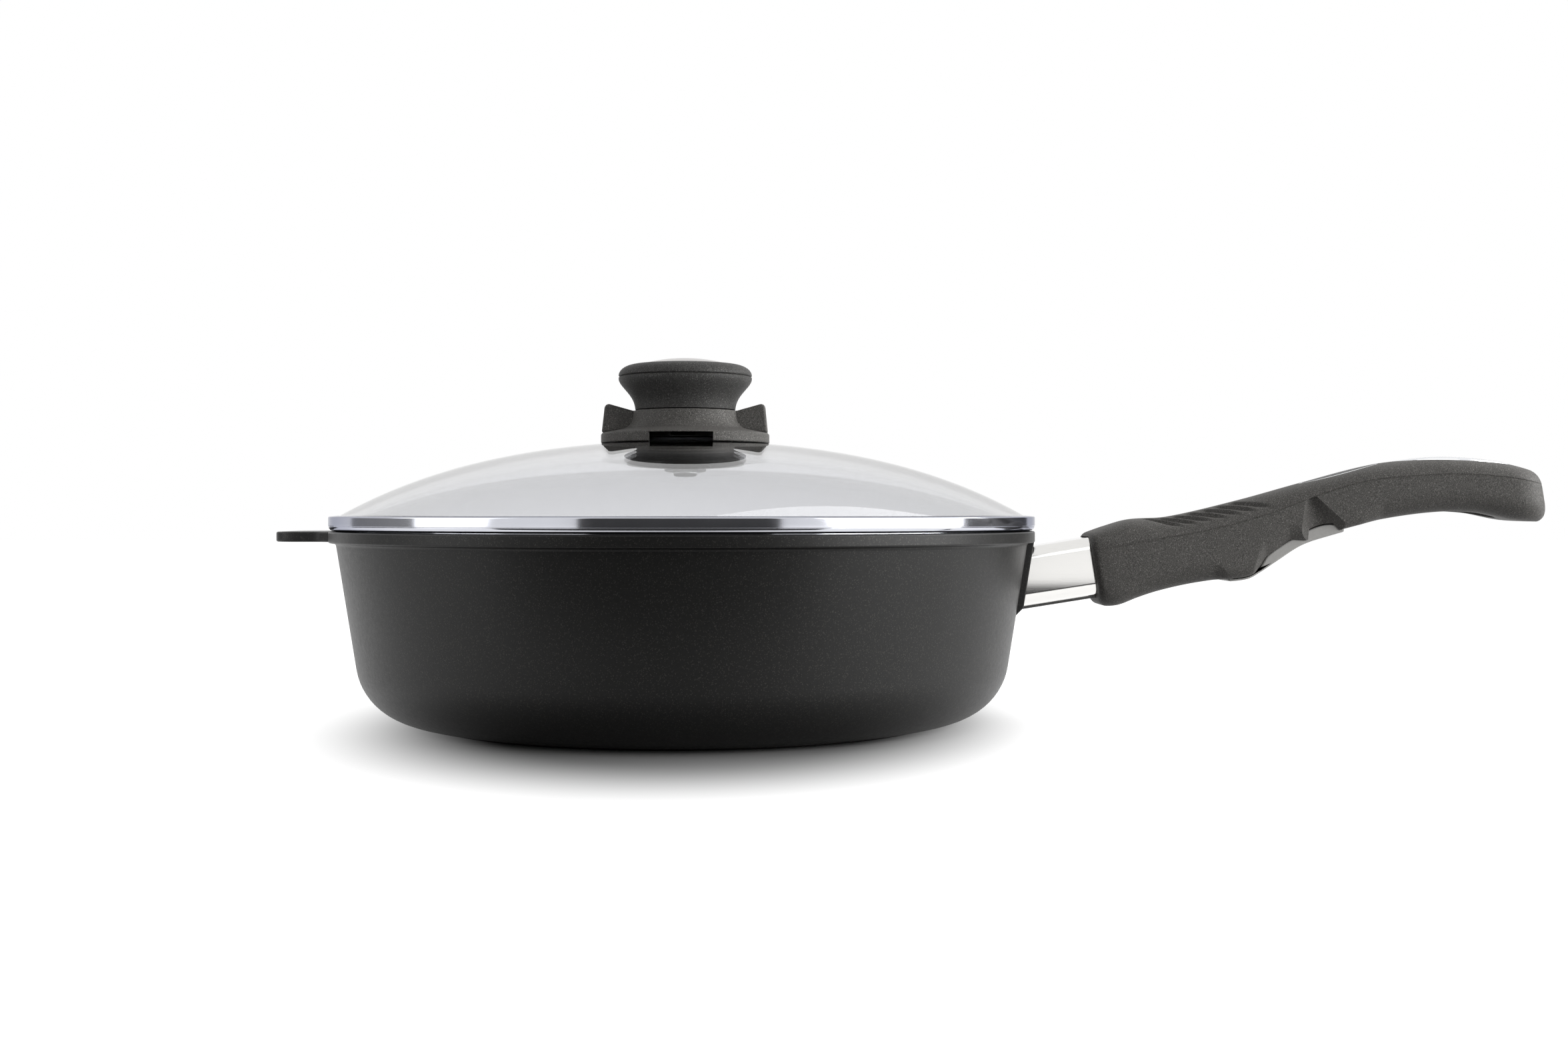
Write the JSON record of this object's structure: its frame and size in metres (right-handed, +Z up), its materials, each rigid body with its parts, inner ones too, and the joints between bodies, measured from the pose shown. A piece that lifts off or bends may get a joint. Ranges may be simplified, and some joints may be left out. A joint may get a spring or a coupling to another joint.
{
  "type": "saute pan with lid",
  "caption": "Deep round saute pan with a helper tab, a domed glass lid whose knob has a turning winged steam vent, and a curved handle that pulls off when its lever is pressed.",
  "frame": {"origin": "centre of the pan's flat base, on the surface that it stands on", "axes": "+Z up through the lid's knob, +X from the pan's centre towards the handle, -Y towards the viewer of the picture"},
  "size_m": [0.4607, 0.254, 0.1315],
  "materials": {
    "coated_casting": "cast aluminium under a dark non-stick coating with a fine metallic sparkle",
    "dark_moulding": "warm black-grey speckled phenolic moulding",
    "black_moulding": "plain black moulding",
    "grey_moulding": "light grey moulding",
    "satin_stainless": "satin stainless sheet",
    "plug_casting": "bare die casting",
    "polished_metal": "polished stainless",
    "zinc_steel": "zinc-plated steel",
    "silicone": "grey silicone",
    "clear_glass": "clear tempered glass"
  },
  "bodies": {
    "pan": {"pan_body": "coated_casting"},
    "handle": {"handle_body": "dark_moulding", "handle_cover": "dark_moulding", "ferrule": "satin_stainless", "ferrule_plug": "plug_casting", "tie_bolt": "zinc_steel", "badge_frame": "polished_metal", "badge_plate": "black_moulding", "hang_eye_frame": "polished_metal", "lever_pin": "zinc_steel", "lever_spring": "zinc_steel"},
    "lever": {"release_lever": "grey_moulding"},
    "latch": {"latch_slide": "satin_stainless"},
    "lid": {"lid_glass": "clear_glass", "lid_rim": "polished_metal", "rim_seal": "silicone", "upper_gasket": "silicone", "lower_gasket": "silicone", "under_washer": "black_moulding", "vent_cage": "black_moulding", "lid_screw": "zinc_steel", "vent_core": "black_moulding", "knob_body": "dark_moulding", "knob_cap": "dark_moulding", "knob_inlay": "polished_metal"},
    "vent": {"vent_ring": "dark_moulding"}
  },
  "joints": [
    {"name": "lid_lift", "type": "slide", "parent": "pan", "child": "lid", "axis": [0, 0, 1], "range_m": [0, 0.15]},
    {"name": "vent_turn", "type": "hinge", "parent": "lid", "child": "vent", "pos_m": [0, 0, 0.105], "axis": [0, 0, 1], "range_deg": [0, 60]},
    {"name": "handle_pull", "type": "slide", "parent": "pan", "child": "handle", "axis": [0.9877, 0, 0.1564], "range_m": [0, 0.06]},
    {"name": "lever_swing", "type": "hinge", "parent": "handle", "child": "lever", "pos_m": [0.1998, 0, 0.05552], "axis": [0, 1, 0], "range_deg": [0, 25], "stiffness_Nm_per_rad": 0.1, "springref_deg": -17.19, "deforming": ["lever_spring"]},
    {"name": "latch_travel", "type": "slide", "parent": "handle", "child": "latch", "axis": [0.9877, 0, 0.1564], "range_m": [0, 0.0027]}
  ],
  "couplings": [
    {"joint": "lever_swing", "follows": "latch_travel", "rad_per_m": 161.3}
  ]
}
